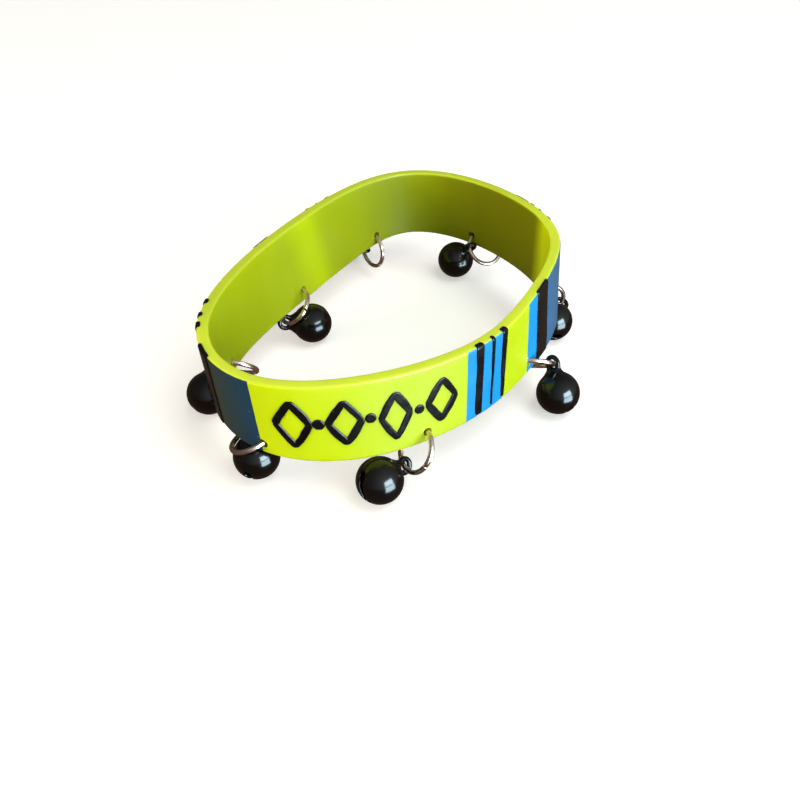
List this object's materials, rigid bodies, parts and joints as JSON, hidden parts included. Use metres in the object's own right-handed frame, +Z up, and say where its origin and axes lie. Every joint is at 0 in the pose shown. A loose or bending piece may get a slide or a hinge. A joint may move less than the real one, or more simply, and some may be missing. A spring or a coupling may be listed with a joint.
{
  "type": "bell bracelet",
  "caption": "Oval silicone wristband with small round jingle bells hung on split rings through holes along its lower edge.",
  "frame": {"origin": "centre of the bounding box on the surface that the bells lie on", "axes": "+Z up, through the wrist opening; +X along the long axis of the oval band; +Y across it"},
  "size_m": [0.0848, 0.0714, 0.0231],
  "materials": {
    "silicone": "neon yellow-green silicone with raised black and blue print",
    "ring_steel": "bright plated steel wire",
    "black_paint": "glossy black enamel",
    "pellet_steel": "plain steel shot"
  },
  "bodies": {
    "band": {"band": "silicone"},
    "ring_1": {"jump_ring_1": "ring_steel"},
    "bell_1": {"bell_1": "black_paint", "pellet_1": "pellet_steel"},
    "ring_2": {"jump_ring_2": "ring_steel"},
    "bell_2": {"bell_2": "black_paint", "pellet_2": "pellet_steel"},
    "ring_3": {"jump_ring_3": "ring_steel"},
    "bell_3": {"bell_3": "black_paint", "pellet_3": "pellet_steel"},
    "ring_4": {"jump_ring_4": "ring_steel"},
    "bell_4": {"bell_4": "black_paint", "pellet_4": "pellet_steel"},
    "ring_5": {"jump_ring_5": "ring_steel"},
    "bell_5": {"bell_5": "black_paint", "pellet_5": "pellet_steel"},
    "ring_6": {"jump_ring_6": "ring_steel"},
    "bell_6": {"bell_6": "black_paint", "pellet_6": "pellet_steel"},
    "ring_7": {"jump_ring_7": "ring_steel"},
    "bell_7": {"bell_7": "black_paint", "pellet_7": "pellet_steel"},
    "ring_8": {"jump_ring_8": "ring_steel"},
    "bell_8": {"bell_8": "black_paint", "pellet_8": "pellet_steel"}
  },
  "joints": [
    {"name": "ring_1_swing", "type": "hinge", "parent": "band", "child": "ring_1", "pos_m": [-0.02585, 0.02127, 0.01009], "axis": [-0.3166, 0.9441, -0.0922], "range_deg": [-26, 23]},
    {"name": "bell_1_swing", "type": "hinge", "parent": "ring_1", "child": "bell_1", "pos_m": [-0.02509, 0.02525, 0.0073], "axis": [0.5293, 0.3096, -0.7899], "range_deg": [0, 100]},
    {"name": "ring_2_swing", "type": "hinge", "parent": "band", "child": "ring_2", "pos_m": [-0.03864, 0.00261, 0.0101], "axis": [-0.9972, -0.0715, -0.02], "range_deg": [0, 54]},
    {"name": "bell_2_swing", "type": "hinge", "parent": "ring_2", "child": "bell_2", "pos_m": [-0.03437, 0.00714, 0.00816], "axis": [0.3071, -0.8601, 0.4073], "range_deg": [0, 100]},
    {"name": "ring_3_swing", "type": "hinge", "parent": "band", "child": "ring_3", "pos_m": [-0.0233, -0.01821, 0.0101], "axis": [-0.5041, -0.8609, 0.0685], "range_deg": [0, 58]},
    {"name": "bell_3_swing", "type": "hinge", "parent": "ring_3", "child": "bell_3", "pos_m": [-0.02688, -0.01636, 0.00352], "axis": [0.5787, 0.8128, 0.0669], "range_deg": [-100, 0]},
    {"name": "ring_4_swing", "type": "hinge", "parent": "band", "child": "ring_4", "pos_m": [0.00172, -0.02504, 0.01009], "axis": [-0.044, -0.9963, 0.0744], "range_deg": [-58, 17]},
    {"name": "bell_4_swing", "type": "hinge", "parent": "ring_4", "child": "bell_4", "pos_m": [0.0053, -0.02929, 0.00856], "axis": [0.7517, -0.0555, -0.6572], "range_deg": [-98, 18]},
    {"name": "ring_5_swing", "type": "hinge", "parent": "band", "child": "ring_5", "pos_m": [0.02656, -0.01923, 0.01009], "axis": [0.6518, -0.758, 0.0244], "range_deg": [0, 49]},
    {"name": "bell_5_swing", "type": "hinge", "parent": "ring_5", "child": "bell_5", "pos_m": [0.02964, -0.02171, 0.005], "axis": [-0.1702, 0.3084, -0.9359], "range_deg": [-100, 0]},
    {"name": "ring_6_swing", "type": "hinge", "parent": "band", "child": "ring_6", "pos_m": [0.03828, 0.0033, 0.0101], "axis": [0.988, -0.1543, 0.0096], "range_deg": [-15, 8]},
    {"name": "bell_6_swing", "type": "hinge", "parent": "ring_6", "child": "bell_6", "pos_m": [0.03538, 0.00282, 0.00832], "axis": [0.5711, 0.4697, 0.6732], "range_deg": [-32, 100]},
    {"name": "ring_7_swing", "type": "hinge", "parent": "band", "child": "ring_7", "pos_m": [0.00037, 0.02391, 0.01005], "axis": [0.004, 0.9756, -0.2196], "range_deg": [-34, 8]},
    {"name": "bell_7_swing", "type": "hinge", "parent": "ring_7", "child": "bell_7", "pos_m": [-0.00522, 0.02404, 0.00511], "axis": [-0.3813, -0.9001, 0.2108], "range_deg": [-98, 0]},
    {"name": "ring_8_swing", "type": "hinge", "parent": "band", "child": "ring_8", "pos_m": [0.0269, 0.02266, 0.01008], "axis": [0.1723, 0.9813, -0.0852], "range_deg": [-58, 38]},
    {"name": "bell_8_swing", "type": "hinge", "parent": "ring_8", "child": "bell_8", "pos_m": [0.02778, 0.02624, 0.0046], "axis": [-0.266, -0.387, -0.8829], "range_deg": [-68, 88]}
  ]
}
